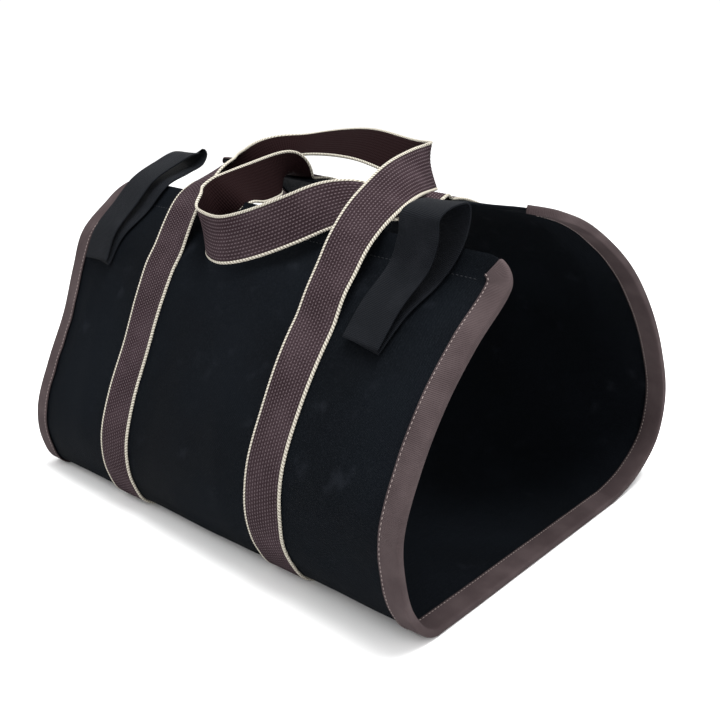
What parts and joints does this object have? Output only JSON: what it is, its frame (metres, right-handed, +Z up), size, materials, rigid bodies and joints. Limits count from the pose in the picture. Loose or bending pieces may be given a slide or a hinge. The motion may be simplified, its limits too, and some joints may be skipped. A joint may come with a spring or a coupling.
{
  "type": "canvas log carrier",
  "caption": "open-ended canvas sling for carrying firewood, with bound edges, webbing straps that make the carrying handles, and black side loops",
  "frame": {"origin": "middle of the carrier's box in X and Y, at its underside", "axes": "+X along the open tunnel to its right end, the front panel faces -Y, +Z up"},
  "size_m": [0.468, 0.4088, 0.3257],
  "materials": {
    "canvas": "matt waxed canvas, near black",
    "binding": "ribbed tape, grey brown, one row of stitching",
    "webbing": "ribbed webbing, dark brown with light cord edges",
    "loop_webbing": "fine woven webbing, black"
  },
  "bodies": {
    "root": {"canvas_panel": "canvas", "binding_right": "binding", "binding_left": "binding", "front_webbing": "webbing", "back_webbing": "webbing", "side_loop_right": "loop_webbing", "side_loop_left": "loop_webbing"}
  },
  "joints": []
}
